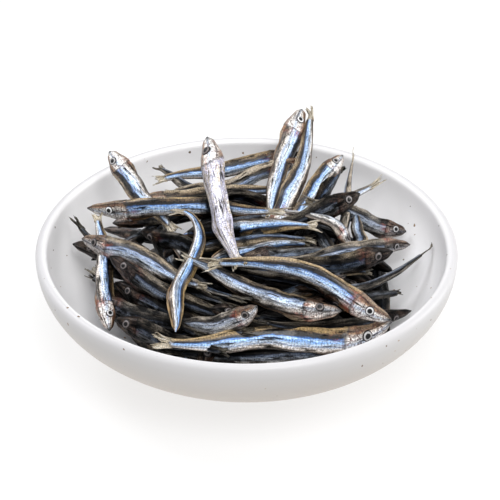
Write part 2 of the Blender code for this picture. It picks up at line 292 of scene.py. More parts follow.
def bowlProfile():
    # (radius, height) from near the middle inside, up over the lip, and down to the middle underneath
    count, overLip, edge, slope = (bowlShape[name] for name in ("down", "overLip", "footEdge", "footSlope"))
    points = [curvePoint(innerCurve, i / count) for i in range(1, count + 1)]
    lip = bowlShape["wall"] / 2
    for i in range(1, overLip):
        angle = math.pi * (1 - i / overLip)
        points.append((rimRadius - lip + lip * math.cos(angle), lipCentre + lip * math.sin(angle)))
    outer, inner = bowlShape["footOuter"], bowlShape["footInner"]
    outside = [curvePoint(outerCurve, 1 - i / count) for i in range(count)]
    points += [p for p in outside if p[0] > outer + bowlShape["footFillet"]]
    join, under, middle = (float(curveHeight(outerCurve, radius)) for radius in (outer, inner, inner / 2))
    points += [
        (outer + slope, join + 0.4 * slope),
        (outer, join - edge),
        (outer, edge),
        (outer - 0.3 * edge, 0.3 * edge),
        (outer - edge, 0),
        (inner + edge, 0),
        (inner + 0.3 * edge, 0.3 * edge),
        (inner, edge),
        (inner - slope, under),
        (inner / 2, middle),
    ]
    return points


def addBowl():
    profile = bowlProfile()
    radius, height = profile[0]
    bpy.ops.mesh.primitive_circle_add(
        vertices=bowlShape["around"], radius=radius, fill_type="TRIFAN", location=(0, 0, height)
    )
    bowl = bpy.context.object
    bowl.name = "bowlGlazed"
    bpy.ops.object.transform_apply(location=True)
    bpy.ops.object.mode_set(mode="EDIT")
    bpy.ops.mesh.select_mode(type="EDGE")
    bpy.ops.mesh.select_all(action="SELECT")
    bpy.ops.mesh.region_to_loop()
    for newRadius, newHeight in profile[1:]:
        bpy.ops.mesh.extrude_region_move(TRANSFORM_OT_translate={"value": (0, 0, newHeight - height)})
        grow = newRadius / radius
        bpy.ops.transform.resize(value=(grow, grow, 1), center_override=(0, 0, newHeight))
        radius, height = newRadius, newHeight
    bpy.ops.mesh.extrude_region_move(TRANSFORM_OT_translate={"value": (0, 0, 0)})
    bpy.ops.mesh.merge(type="CENTER")
    bpy.ops.object.mode_set(mode="OBJECT")
    faceOutward()
    smooth = bowl.modifiers.new("rounder", "SUBSURF")
    smooth.levels = 1
    bpy.ops.object.modifier_apply(modifier=smooth.name)
    x, y, z = readPoints(bowl).T
    radius = np.hypot(x, y)
    # how far through the wall a point is, for the painted shade on the outside
    below = np.clip((lipCentre - z) / innerCurve[1], 0, 1)
    inside = innerCurve[0] * (1 - below ** bowlPower) ** (1 / bowlPower)
    share = bowl.data.attributes.new("outsideShare", "FLOAT", "POINT")
    share.data.foreach_set("value", easeIn(0.1, 0.6, (radius - inside) / bowlShape["wall"]))
    # a thrown rim is never quite round
    angle = np.arctan2(y, x)
    inward = easeIn(0.3 * rimHeight, rimHeight, z) * bowlShape["unevenness"]
    wave = (np.sin(2 * angle + 0.7) + 0.6 * np.sin(3 * angle + 2.1) + 0.4 * np.sin(5 * angle)) / 2
    shrink = 1 - inward * (1 + wave) / rimRadius
    writePoints(bowl, x * shrink, y * shrink, z)
    return bowl


# What lies in the bowl is laid by the same rule as in the solid model: a core, then the fish

coreShape = {
    "radius": 55 * mm,
    "top": 35 * mm,
    "bowlGap": 0.9 * mm,
    "sunk": 1.2 * mm,  # below the solid core's top
    "drawnIn": 0.9,
    "roughness": 0.8 * mm,
    "thinnest": 0.5 * mm,
}
fishClear = 0.95 * mm  # from the bowl's inner curve

# an anchovy, as shares of its length and of its greatest depth and width, from snout to tail
fishShape = {
    "stations": (0.0, 0.05, 0.13, 0.22, 0.40, 0.62, 0.80, 0.88, 1.0),
    "depths": (0.14, 0.46, 0.78, 0.95, 1.0, 0.82, 0.46, 0.34, 0.80),
    "widths": (0.16, 0.52, 0.88, 1.0, 0.95, 0.74, 0.42, 0.28, 0.12),
    "depth": 9.6 * mm,
    "width": 5.8 * mm,
}

laying = {
    "samples": 24,
    "step": 1 * mm,
    "depthWeight": 0.35,  # how far a fish's depth, and not its width, sets how thick it lies
    "sink": 0.7,  # share of two fish's radii that is left between them where they press
    "grip": 0.42,  # the same where a fish has to touch what carries it
    "firmness": 0.4,  # at 0 a fish rests on the mean of its contacts, at 1 on the highest
    "deepestFiller": 4 * mm,  # below its highest contact
    "deepestShown": 2.5 * mm,
    "steepest": 0.8,
    "lowest": 75 * mm,  # how far along its line a fish may be moved
    "fillerCount": 29,
    "fillerScale": 0.9,
    "fillerReach": 66 * mm,
    "fillerFront": -0.6,  # share of the reach
    "fillerLengths": (62, 80),  # millimetres
    "fillerBend": 0.05,
    "fillerRoll": 10,  # degrees
    "seed": 4,
}

# The fish that show, the lowest first. Points from snout to tail are millimetres right of and above the
# middle of the rim, as seen from the camera. Then come how far round the back is turned (0 to the right
# of the heading, 90 to the camera, 180 to its left), the scale, the brightness and how blue the flank is.
# The brightness is partly a fish's own tone and partly painted shade, low where a fish lies in shadow.
shownFish = {
    "lowLeft": ([(-40, 3), (-28, -1), (-16, -5), (-2, -9)], 30, 0.9, 0.15, 0.3),
    "lowMiddle": ([(-24, -7), (-12, -13), (2, -21), (14, -26), (26, -30)], 25, 0.95, 0.25, 0.3),
    "lowRight": ([(-2, -7), (12, -6), (26, -5), (44, -6)], 160, 0.85, 0.2, 0.5),
    "lowFarRight": ([(8, -15), (24, -13), (38, -12), (50, -12.5)], 150, 0.8, 0.3, 0.7),
    "lowFront": ([(-14, -26), (4, -30), (20, -33), (40, -36)], 150, 0.9, 0.15, 0.2),
    "lowFrontLeft": ([(-50, -30), (-36, -36), (-22, -40), (-4, -43)], 30, 0.95, 0.15, 0.3),
    "backTail": ([(-12, 12), (-22, 20), (-29, 25), (-35, 28.5)], 60, 0.8, 0.3, 0.2),
    "backBlue": ([(20, 33), (8, 30), (-6, 26.5), (-21, 24.5), (-38, 22)], 175, 0.9, 0.7, 0.9),
    "backLilac": ([(22, 30), (6, 25.5), (-6, 20), (-20, 19), (-34, 17)], 150, 0.9, 0.8, 0.4),
    "backPale": ([(-44, 14), (-28, 15), (-14, 16.5), (4, 18.5), (20, 19)], 20, 0.9, 0.7, 0.6),
    "backBlack": ([(14, 10), (5, 14.5), (-5, 17), (-18, 15), (-33, 14)], 120, 0.85, 0.15, 0.3),
    "darkDiagonal": ([(20, 0), (27, 13), (33, 23), (37.5, 30)], 20, 0.9, 0.15, 0.8),
    "fanTail": ([(34, -6), (37, 8), (39, 22), (40.5, 33.5)], 90, 0.75, 0.8, 0.2),
    "uprightTail": ([(8, -2), (15, 13), (20, 24), (23.5, 38), (24.7, 52.5)], 0, 1.0, 0.8, 0.7),
    "uprightHead": ([(21.3, 50), (16.5, 38), (12.5, 30), (10, 18), (8, 2)], -8, 1.05, 0.85, 0.7),
    "leaningLeft": ([(-52, 33.5), (-47, 27), (-42, 20), (-36, 13), (-26, 2)], 185, 1.0, 0.85, 0.6),
    "leftTip": ([(-66, -1.5), (-54, -5), (-40, -11), (-20, -20), (-2, -27)], 10, 0.9, 0.2, 0.2),
    "leftUpTail": ([(-28, -24), (-45, -10), (-58, 0), (-66.5, 9)], 30, 0.8, 0.2, 0.1),
    "leftSmallTail": ([(-18, -32), (-36, -24), (-52, -17), (-63.5, -12)], 30, 0.8, 0.3, 0.1),
    "darkLeftUpper": ([(-52, -6), (-40, -15), (-28, -22), (-12, -28), (6, -30)], 20, 0.9, 0.25, 0.4),
    "darkLeftLower": ([(-50, -16), (-40, -22), (-28, -29), (-12, -34), (6, -35)], 20, 0.9, 0.15, 0.4),
    "redHead": ([(4, -25), (-3, -30), (-16, -33), (-34, -31)], 160, 0.9, 0.6, 0.1),
    "rightLongTail": ([(18, -18), (40, -19), (53, -14), (62, -9), (72, -1.5)], 110, 0.7, 0.35, 0.1),
    "rightCutTail": ([(20, -26), (40, -23), (52, -20.5), (62, -19.5)], 150, 0.8, 0.15, 0.1),
    "rightLowHead": ([(62.5, -27), (54, -29.5), (38, -33), (18, -33), (0, -30)], 130, 0.85, 0.2, 0.3),
    "bentHead": ([(36.5, 32), (31, 26), (26, 19), (20, 10), (12, 0)], 180, 0.9, 0.8, 0.85),
    "farRightTail": ([(6, 2), (24, 8), (38, 15), (46, 19), (52, 23.5)], 20, 0.75, 0.7, 0.3),
    "rightUpperHead": ([(60.5, 3), (52, 4), (44, 7), (34, 12), (20, 15)], 170, 0.9, 0.4, 0.2),
    "darkEyeHead": ([(43, 17.5), (35, 13.5), (26, 9.5), (12, 4), (-4, 0)], 165, 1.0, 0.15, 0.3),
    "rightUpright": ([(44, -8), (42, 2), (40.5, 13)], 170, 0.7, 0.5, 0.6),
    "rightLowerHead": ([(62, -2), (51, -3), (42, -4), (28, -7), (8, -8)], 160, 0.85, 0.45, 0.3),
    "greyScaled": ([(-20, -4), (-4, -1), (12, 0.5), (22, 0.5), (28, 0)], 120, 0.85, 0.45, 0.6),
    "blueFine": ([(-14, -8), (-2, -5), (10, -2), (21, -1.5), (27, -2.5)], 165, 0.85, 0.5, 0.9),
    "darkPointed": ([(55.5, -4.5), (46, -7), (36, -9.5), (20, -11), (-4, -12)], 160, 1.05, 0.2, 0.6),
    "pinkHead": ([(39, -3.5), (37, 1), (32, 6), (24, 9), (10, 11)], 250, 0.8, 0.6, 0.1),
    "blueScaled": ([(-24, 2), (-6, 4), (12, 6), (24, 5.5), (30, 5)], 160, 0.9, 0.6, 1.0),
    "darkFront": ([(-57, -22), (-46, -28), (-36, -31), (-24, -33.5), (-14, -38)], 25, 1.0, 0.2, 0.2),
    "leftUpright": ([(-52, -34.5), (-54, -22), (-54, -8), (-56, 5), (-56.5, 13)], 190, 0.9, 0.75, 0.8),
    "leftBrownHead": ([(-62.5, 0.5), (-53, -2.5), (-45, -5), (-30, -13), (-12, -19)], 5, 1.0, 0.5, 0.5),
    "longWhiteEye": (
        [(-60.5, 12), (-52, 11.5), (-44, 11), (-20, 12), (2, 10.5), (18, 10.5)], 15, 1.0, 0.75, 0.9
    ),
    "brownHead": (
        [(36, -27), (20, -26.5), (8, -22.5), (-4, -17), (-18, -9.5), (-28, -5)], 188, 1.0, 0.5, 0.5
    ),
    "darkBack": ([(40, -27), (33.5, -21.5), (25, -16.5), (8, -13.5), (-12, -10)], 110, 0.9, 0.25, 0.2),
    "frontLowest": ([(44, -41), (26, -43.5), (6, -44.5), (-14, -44.5), (-34, -42)], 170, 0.8, 0.3, 0.4),
    "frontLong": (
        [(55, -31), (46, -36), (38, -38), (24, -38.5), (8, -38), (-14, -39.5), (-30, -39), (-41, -37)],
        165, 1.2, 0.85, 1.0,
    ),
    "whiteHead": (
        [(55, -30.5), (46.5, -27), (37, -21.5), (22, -12.5), (8, -9), (-8, -9), (-20, -10)],
        155, 1.05, 0.85, 0.8,
    ),
    "hooked": (
        [(-27, -35), (-27, -22), (-25, -15), (-20.5, -6), (-18, 1), (-19.5, 7), (-24, 10.5), (-31, 10)],
        195, 0.75, 0.8, 1.0,
    ),
    "uprightMiddle": (
        [(-15, 39), (-13, 30), (-11, 19), (-8.5, 6.5), (-6, -2), (-1, -14)], 205, 1.15, 0.85, -0.3
    ),
}


def keptInBowl(points, margin=0.0):
    across = innerCurve[0] - fishClear - margin
    down = innerCurve[1] - fishClear - margin
    out = np.array(points, float)
    radius = np.hypot(out[:, 0], out[:, 1])
    below = np.maximum(lipCentre - out[:, 2], 0)
    past = (radius / across) ** bowlPower + (below / down) ** bowlPower
    scale = np.where(past > 1, np.maximum(past, 1e-9) ** (-1 / bowlPower), 1.0)
    out[:, :2] *= scale[:, None]
    out[:, 2] = np.where(below > 0, lipCentre - below * scale, out[:, 2])
    return out


def coreHeight(radius):
    edge = curveHeight(innerCurve, coreShape["radius"])
    return edge + (coreShape["top"] - edge) * np.clip(1 - (radius / coreShape["radius"]) ** 2, 0, 1)


def groundHeight(points):
    radius = np.hypot(points[..., 0], points[..., 1])
    wall = np.where(radius < innerCurve[0], curveHeight(innerCurve, radius), -1.0)
    return np.where(radius < coreShape["radius"], coreHeight(radius), wall)


def readAlong(at, places, line):
    return np.stack([np.interp(at, places, column) for column in line.T], axis=1)


def smoothPath(points, count):
    # a Catmull-Rom curve through the points, read at evenly spaced places
    p = np.array(points, float)
    p = np.vstack([2 * p[0] - p[1], p, 2 * p[-1] - p[-2]])
    fine = []
    for a, b, c, d in zip(p, p[1:], p[2:], p[3:]):
        for t in np.linspace(0, 1, 16, endpoint=False):
            bent = (2 * a - 5 * b + 4 * c - d) * t**2 + (3 * b - a - 3 * c + d) * t**3
            fine.append(0.5 * (2 * b + (c - a) * t + bent))
    fine = np.array(fine + [p[-2]])
    run = np.concatenate([[0], np.cumsum(np.linalg.norm(np.diff(fine, axis=0), axis=1))])
    return readAlong(np.linspace(0, run[-1], count), run, fine)


def halfSizes(at, scale):
    f = fishShape
    return (
        np.interp(at, f["stations"], f["depths"]) * f["depth"] * scale / 2,
        np.interp(at, f["stations"], f["widths"]) * f["width"] * scale / 2,
    )


def fishFrames(spine, towards, turn):
    # the directions of the back and of one flank along a spine
    heading = -unit(np.gradient(spine, axis=0))
    facing = unit(towards - (towards * heading).sum(1, keepdims=True) * heading)
    right = np.cross(heading, facing)
    angle = math.radians(turn)
    back = math.cos(angle) * right + math.sin(angle) * facing
    return back, np.cross(back, heading)


def reachGround(spine, towards, radii, coreOnly):
    # how far towards the eye each point has to move to clear the core, or, unless coreOnly, the bowl
    steps = np.arange(-laying["lowest"], laying["lowest"], laying["step"])
    tried = spine[:, None] + towards[:, None] * steps[None, :, None]
    under = tried[..., 2] < groundHeight(tried) + radii[:, None]
    if coreOnly:
        under &= np.hypot(tried[..., 0], tried[..., 1]) < coreShape["radius"]
    last = np.where(under.any(1), under.shape[1] - 1 - np.argmax(under[:, ::-1], axis=1), 0)
    return steps[last]


def reachLaid(spine, towards, radii, laid, firmness):
    # the same, to rest on the fish that are laid already
    if not laid:
        return np.full(len(spine), -laying["lowest"])
    centres = np.concatenate([c for c, _ in laid])
    sizes = np.concatenate([r for _, r in laid])
    offset = centres[None] - spine[:, None]
    along = (offset * towards[:, None]).sum(2)
    apart = (offset**2).sum(2) - along**2
    reach = ((radii[:, None] + sizes[None]) * firmness) ** 2
    touch = along + np.sqrt(np.maximum(reach - apart, 0))
    return np.where(apart < reach, touch, -laying["lowest"]).max(1)


def lay(flat, towards, scale, deepest, laid):
    # comes to rest on what lies under it, slanted to follow it
    at = np.linspace(0, 1, laying["samples"])
    halfDepth, halfWidth = halfSizes(at, scale)
    radii = laying["depthWeight"] * halfDepth + (1 - laying["depthWeight"]) * halfWidth
    sink, grip = laying["sink"], laying["grip"]
    need = np.maximum(reachLaid(flat, towards, radii, laid, sink), reachGround(flat, towards, radii, False))
    touch = np.maximum(
        reachLaid(flat, towards, radii, laid, grip), reachGround(flat, towards, radii * grip, True)
    )
    held = need > -laying["lowest"] + 2 * laying["step"]
    length = np.linalg.norm(np.diff(flat, axis=0), axis=1).sum()
    slope = np.polyfit(at[held], need[held], 1)[0]
    slope = float(np.clip(slope, -laying["steepest"] * length, laying["steepest"] * length))
    over = (need - slope * at)[2:-2][held[2:-2]]
    firm = laying["firmness"]
    lift = max((1 - firm) * over.mean() + firm * over.max(), over.max() - deepest)
    lift = min(lift, float((touch - slope * at)[2:-2].max()))
    spine = keptInBowl(flat + towards * (slope * at + lift)[:, None], halfWidth)
    laid.append((spine[1:-1], radii[1:-1]))
    return spine


def layShown(points, turn, scale, laid):
    drawn = smoothPath(points, laying["samples"]) * mm
    flat = rimMiddle + drawn[:, :1] * np.array((1.0, 0, 0)) + drawn[:, 1:] * drawnUp
    towards = unit(eyePlace - flat)
    spine = lay(flat, towards, scale, laying["deepestShown"], laid)
    return spine, *fishFrames(spine, towards, turn)


def layFiller(chance, laid):
    share = np.linspace(-0.5, 0.5, laying["samples"])
    while True:
        sideways, back = chance.uniform(-1, 1), chance.uniform(laying["fillerFront"], 1)
        middle = np.array((sideways, back, 0)) * laying["fillerReach"]
        heading = chance.uniform(0, 2 * math.pi)
        length = chance.uniform(*laying["fillerLengths"]) * mm
        along = np.array((math.cos(heading), math.sin(heading), 0))
        across = np.cross(up, along)
        bend = chance.normal(0, laying["fillerBend"]) * length
        flat = middle + share[:, None] * length * along + (1 - 4 * share[:, None] ** 2) * bend * across
        if np.hypot(flat[:, 0], flat[:, 1]).max() < laying["fillerReach"]:
            break
    towards = np.tile(up, (laying["samples"], 1))
    spine = lay(flat, towards, laying["fillerScale"], laying["deepestFiller"], laid)
    turn = chance.choice((0, 180)) + chance.normal(0, laying["fillerRoll"])
    return spine, *fishFrames(spine, towards, turn)


def layAll():
    chance = np.random.RandomState(laying["seed"])
    laid = []
    fillers = [layFiller(chance, laid) for _ in range(laying["fillerCount"])]
    shown = {}
    for name, (points, turn, scale, _, _) in shownFish.items():
        shown[name] = layShown(points, turn, scale, laid)
    return fillers, shown


# One anchovy is modelled once, straight, and every fish in the heap is a bent copy of it.
# A point of it is its share of the length and its offsets to the back and to the flank.

anchovy = {
    "around": 36,
    "along": 74,
    "length": 80 * mm,
    "crowding": 1.3,  # power that brings the rings closer together on the head
    "snoutRings": 0.08,  # share of the rings over which the snout closes
    "stubRings": 0.01,
    "bodyEnd": 0.885,  # share of the length where the tail fin begins
    "eyePlace": (0.117, 0.18),  # share of the length, share of the half depth
    "eyeRadius": 1.72 * mm,
    "eyeRise": 0.55 * mm,
    "eyeSeat": 0.86,  # share of the half width under it
    "socket": (1.6 * mm, 2.6 * mm),
    "gillEnd": 0.215,
    "gillCurve": 0.022,
    "dullHead": 0.26,  # where the skin of a fish without its head begins
}

# how far each form stands out or is sunk, as a share of the radius
relief = {
    "jaws": 0.06,
    "gillCover": 0.06,
    "gillEdge": 0.07,
    "cheekEdge": 0.06,
    "mouth": 0.14,
    "socket": 0.10,
    "backFurrow": 0.12,
    "bellyFurrow": 0.16,
    "keel": 0.22,
    "sharpness": 0.35,
    "underWidth": 0.07,
}

tailFin = {
    "start": 0.865,
    "reach": 0.135,
    "notch": 0.35,  # share of the reach
    "rootWidth": 0.16,  # share of the greatest depth
    "opening": 0.20,
    "rib": 0.12 * mm,
    "wave": 0.25 * mm,
    "thickness": 0.32 * mm,
}


def addAnchovyBody():
    bpy.ops.mesh.primitive_uv_sphere_add(segments=anchovy["around"], ring_count=anchovy["along"], radius=1)
    body = bpy.context.object
    body.name = "anchovyBody"
    x, y, z = readPoints(body).T
    t = np.arccos(np.clip(z, -1, 1)) / math.pi
    share = anchovy["bodyEnd"] * t ** anchovy["crowding"]
    ring = np.maximum(np.hypot(x, y), 1e-6)
    v = x / ring  # 1 along the back, -1 along the belly
    u = y / ring
    halfDepth, halfWidth = halfSizes(share, 1.0)
    closing = np.sqrt(np.clip(t / anchovy["snoutRings"], 0, 1))
    closing *= np.sqrt(np.clip((1 - t) / anchovy["stubRings"], 0, 1))
    closing *= 1 + relief["jaws"] * bell(share, 0.035, 0.03)
    # sharp along the back and the belly, widest above the middle
    u = np.sign(u) * np.abs(u) ** (1 + relief["sharpness"] * easeIn(0.16, 0.3, share))
    plump = 1 - relief["underWidth"] * (1 - v)
    keel = 1 - relief["keel"] * easeIn(-0.2, -1.0, v) * easeIn(0.24, 0.34, share)

    # the gill cover, the edge of the cheek, the mouth and the eye's socket
    gillEdge = anchovy["gillEnd"] - anchovy["gillCurve"] * (v - 0.1) ** 2
    onCover = easeIn(gillEdge + 0.004, gillEdge - 0.006, share) * easeIn(0.10, 0.17, share)
    away = 1 + relief["gillCover"] * onCover
    away -= relief["gillEdge"] * bell(share, gillEdge + 0.006, 0.005) * (np.abs(v) < 0.97)
    away -= relief["cheekEdge"] * bell(share, 0.155 - 0.03 * v, 0.006) * easeIn(0.9, 0.5, np.abs(v))
    inMouth = easeIn(0.15, 0.12, share) * easeIn(0.0, 0.02, share)
    away -= relief["mouth"] * bell(v, -0.30 - 2.2 * share, 0.16) * inMouth
    eyeShare, eyeV = anchovy["eyePlace"]
    fromEye = np.hypot((share - eyeShare) * anchovy["length"], (v - eyeV) * halfDepth)
    away -= relief["socket"] * easeIn(anchovy["socket"][1], anchovy["socket"][0], fromEye)

    # two long furrows where the dried trunk has sunk in
    trunk = easeIn(0.25, 0.32, share) * easeIn(0.88, 0.8, share)
    away -= relief["backFurrow"] * trunk * bell(v, 0.5 + 0.04 * np.sin(share * 40), 0.12)
    away -= relief["bellyFurrow"] * trunk * bell(v, -0.38 + 0.05 * np.sin(share * 33 + 1), 0.14)
    thick = closing * keel * away
    writePoints(body, share, v * halfDepth * thick, u * halfWidth * thick * plump)
    return body


def addAnchovyTail():
    # a notched fan of rays, thin at its ragged end
    bpy.ops.mesh.primitive_grid_add(x_subdivisions=9, y_subdivisions=18, size=2)
    tail = bpy.context.object
    tail.name = "anchovyTail"
    x, y, _ = readPoints(tail).T
    t = (x + 1) / 2
    fork = 1 - tailFin["notch"] * (1 - np.abs(y) ** 1.2)
    ragged = 1 + 0.10 * np.sin(y * 31) + 0.06 * np.sin(y * 57 + 1)
    share = tailFin["start"] + t * tailFin["reach"] * fork * ragged
    spread = (tailFin["rootWidth"] + tailFin["opening"] * t**0.9) * fishShape["depth"]
    ribs = tailFin["rib"] * np.sin(y * 24) * (1 - 0.4 * t) + tailFin["wave"] * np.sin(y * 3 + t * 4) * t
    writePoints(tail, share, y * spread, ribs)
    return tail


def addAnchovyEye():
    # a low dome, as points round (0, 0, 0): along the body, towards the back, out of the flank
    bpy.ops.mesh.primitive_uv_sphere_add(segments=20, ring_count=10, radius=1)
    eye = bpy.context.object
    eye.name = "anchovyEye"
    return eye


def meshArrays(thing):
    # its points and its faces as (corner list, corner counts)
    mesh = thing.data
    corners = np.empty(len(mesh.loops), int)
    mesh.loops.foreach_get("vertex_index", corners)
    counts = np.empty(len(mesh.polygons), int)
    mesh.polygons.foreach_get("loop_total", counts)
    return readPoints(thing), corners, counts


def tailArrays(tail):
    # the sheet gets its thickness and its edge faces here, because its points aren't real places yet
    points, corners, _ = meshArrays(tail)
    half = tailFin["thickness"] / 2
    count = len(points)
    grid = corners.reshape(-1, 4)
    both = np.vstack([points + (0, 0, half), points - (0, 0, half)])
    faces = [tuple(f) for f in grid] + [tuple(f[::-1] + count) for f in grid]
    edges = [(a, b) for f in grid for a, b in zip(f, np.roll(f, -1))]
    known = set(edges)
    faces += [(b, a, a + count, b + count) for a, b in edges if (b, a) not in known]
    return both, np.array([c for f in faces for c in f]), np.full(len(faces), 4)


# what drying does to each fish in its own way
drying = {
    "waver": 0.35 * mm,
    "twist": 0.22,
    "belly": 0.20,  # share of the radius by which it falls in, at most
    "headFolds": 0.35,  # how deep the folds are on the head, to those on the trunk
    "rays": 0.16,
    "curl": 0.5 * mm,
    # waves along a fish, waves round it, and their size as a share of its radius
    "folds": ((4, 2, 0.06), (7, 3, 0.05), (11, 4, 0.045), (9, 6, 0.04), (25, 3, 0.02), (50, 2, 0.01)),
}
anyPhase = (0, 6.3)


def unsettled(placed, chance):
    # a dried fish is never quite straight: its spine wavers and its back turns a little
    spine, back, flank = placed
    at = np.linspace(0, 1, len(spine))

    def wave(size, slowest, fastest):
        return size * np.sin(chance.uniform(slowest, fastest) * at + chance.uniform(*anyPhase))[:, None]

    fade = (np.sin(math.pi * at) ** 0.5)[:, None]
    side = wave(drying["waver"], 9, 16)
    rise = wave(drying["waver"], 9, 16)
    twist = wave(drying["twist"], 3, 8)
    turnedBack = unit(back + twist * flank)
    turnedFlank = unit(flank - twist * back)
    return spine + fade * (side * flank + rise * back), turnedBack, turnedFlank


def bentCopy(points, placed, scale):
    # points of the straight anchovy, carried onto a fish's spine
    at = np.linspace(0, 1, len(placed[0]))
    centre, toBack, toFlank = (readAlong(points[:, 0], at, line) for line in placed)
    return centre + unit(toBack) * points[:, 1:2] * scale + unit(toFlank) * points[:, 2:3] * scale


def wrinkled(points, chance):
    # dried skin: long furrows and dents that differ from fish to fish
    share, back, flank = points.T
    halfDepth, halfWidth = halfSizes(share, 1.0)
    around = np.arctan2(flank / halfWidth, back / halfDepth)
    dent = np.zeros(len(points))
    for along, turns, size in drying["folds"]:
        along = along * chance.uniform(0.8, 1.25)
        wave = np.sin(along * share + chance.uniform(*anyPhase))
        wave *= np.cos(turns * around + chance.uniform(*anyPhase))
        dent += size * (1 - 2 * np.sqrt(np.abs(wave)))
    trunk = drying["headFolds"] + (1 - drying["headFolds"]) * easeIn(0.20, 0.30, share)
    hollow = drying["belly"] * chance.uniform(0, 1) * easeIn(0.2, 1.0, -np.cos(around))
    grow = 1 + (dent * trunk - hollow * easeIn(0.22, 0.3, share)) * (share < 0.9)
    out = points.copy()
    out[:, 1] *= grow
    out[:, 2] *= grow
    return out


def frayed(points, look, chance):
    # a dry tail fin is partly folded, and some of it has broken off
    spread, left = look
    out = points.copy()
    base = out[:, 0].min()
    rays = 1 + drying["rays"] * np.sin(out[:, 1] / (0.55 * mm) + chance.uniform(*anyPhase))
    out[:, 0] = base + (out[:, 0] - base) * left * rays
    out[:, 1] *= 1 - (1 - spread) * easeIn(base, base + 0.04, points[:, 0])
    out[:, 2] += drying["curl"] * np.sin(out[:, 1] / (1.1 * mm) + chance.uniform(*anyPhase)) * (1.1 - spread)
    return out


def joinPieces(name, parts):
    # one mesh object from (points, corners, counts, {attribute: vectors}) parts
    mesh = bpy.data.meshes.new(name)
    points = np.vstack([p[0] for p in parts])
    starts = np.cumsum([0] + [len(p[0]) for p in parts[:-1]])
    corners = np.concatenate([p[1] + s for p, s in zip(parts, starts)])
    counts = np.concatenate([p[2] for p in parts])
    mesh.vertices.add(len(points))
    mesh.vertices.foreach_set("co", points.ravel())
    mesh.loops.add(len(corners))
    mesh.loops.foreach_set("vertex_index", corners.astype(np.int32))
    mesh.polygons.add(len(counts))
    mesh.polygons.foreach_set("loop_start", np.concatenate([[0], np.cumsum(counts)[:-1]]).astype(np.int32))
    mesh.polygons.foreach_set("loop_total", counts.astype(np.int32))
    for vectorName in ("restPlace", "fishTone"):
        layer = mesh.attributes.new(vectorName, "FLOAT_VECTOR", "POINT")
        layer.data.foreach_set("vector", np.vstack([p[3][vectorName] for p in parts]).ravel())
    mesh.update(calc_edges=True)
    mesh.validate()
    mesh.polygons.foreach_set("use_smooth", np.ones(len(counts), bool))
    made = bpy.data.objects.new(name, mesh)
    bpy.context.collection.objects.link(made)
    print(name, sum(c - 2 for c in counts), "triangles")
    return made


def fishParts(placed, scale, tone, look, clear, chance, straight):
    # the body with its tail, and the two eyes, of one fish, or no eyes where how clear they are is None
    body, tail, eye = straight
    placed = unsettled(placed, chance)
    length = np.linalg.norm(np.diff(placed[0], axis=0), axis=1).sum()
    bright, blue = tone
    own = chance.uniform()
    skin = []
    for kind, (points, corners, counts) in (("body", body), ("tail", tail)):
        shaped = wrinkled(points, chance) if kind == "body" else frayed(points, look, chance)
        halfDepth, halfWidth = halfSizes(np.minimum(points[:, 0], 1), 1.0)
        share = points[:, 0]
        if clear is None:
            share = np.maximum(share, anchovy["dullHead"] + 0.2 * share)
        rest = np.stack([share, points[:, 1] / halfDepth, points[:, 2] / halfWidth], axis=1)
        places = keptInBowl(bentCopy(shaped, placed, scale))
        tones = np.tile((bright, blue, own), (len(points), 1))
        skin.append((places, corners, counts, {"restPlace": rest, "fishTone": tones}))
    if clear is None:
        return skin, []
    eyes = []
    eyeShare, eyeV = anchovy["eyePlace"]
    halfDepth = halfSizes(eyeShare, 1.0)[0]
    points, corners, counts = eye
    radius = anchovy["eyeRadius"]
    share = eyeShare + points[:, 0] * radius * scale / length
    upward = eyeV * halfDepth + points[:, 1] * radius
    nearDepth, nearWidth = halfSizes(share, 1.0)
    surface = nearWidth * np.sqrt(np.clip(1 - (upward / nearDepth) ** 2, 0.05, 1))
    outward = anchovy["eyeSeat"] * surface + points[:, 2] * anchovy["eyeRise"]
    for side in (1, -1):
        offset = np.stack([share, upward, side * outward], axis=1)
        places = keptInBowl(bentCopy(offset, placed, scale))
        eyeTone = np.tile((clear, blue, own), (len(points), 1))
        eyes.append((places, corners, counts, {"restPlace": points, "fishTone": eyeTone}))
    return skin, eyes


# the tones, tail looks and eyes that chance gives, as the lowest and the highest
givenLooks = {
    "seed": 3,
    # the hidden fish are dark: partly their own tone, partly painted shade in the gaps between the fish that
    # show
    "bright": (0.1, 0.5),
    "blue": (0.1, 0.9),
    "hiddenTail": ((0.35, 0.8), (0.5, 1.0)),
    "shownTail": ((0.45, 0.85), (0.5, 0.9)),
    "hiddenEye": 0.1,
    "dullEye": 0.12,
}

# what shows of these is a body without its head
headless = ("hooked", "greyScaled", "blueScaled", "blueFine")

# how clear the ring of an eye is, where it isn't dull
clearEyes = {
    "longWhiteEye": 1.0,
    "uprightHead": 1.0,
    "whiteHead": 0.9,
    "leftUpright": 0.8,
    "rightUpperHead": 0.7,
    "frontLong": 0.55,
    "leaningLeft": 0.5,
    "bentHead": 0.45,
    "rightLowerHead": 0.35,
    "darkEyeHead": 0.25,
}

# how far a tail fin is open, and how much of its length is left
tailLook = {
    "uprightTail": (0.5, 0.95),
    "uprightMiddle": (0.8, 0.5),
    "farRightTail": (0.6, 1.0),
    "greyScaled": (1.0, 0.75),
    "blueFine": (1.05, 0.7),
    "blueScaled": (0.95, 0.7),
    "leftTip": (0.45, 0.9),
    "leftUpTail": (0.5, 0.9),
    "leftSmallTail": (0.4, 0.5),
    "rightLongTail": (0.35, 0.9),
    "rightCutTail": (0.5, 0.4),
    "frontLong": (0.8, 0.6),
    "fanTail": (0.9, 1.0),
}


# painted shade: how the brightness of a fish falls with its depth below its neighbours
paintedBurialShade = {"cell": 2.5 * mm, "from": 1.2 * mm, "to": 6.5 * mm, "most": 0.97}


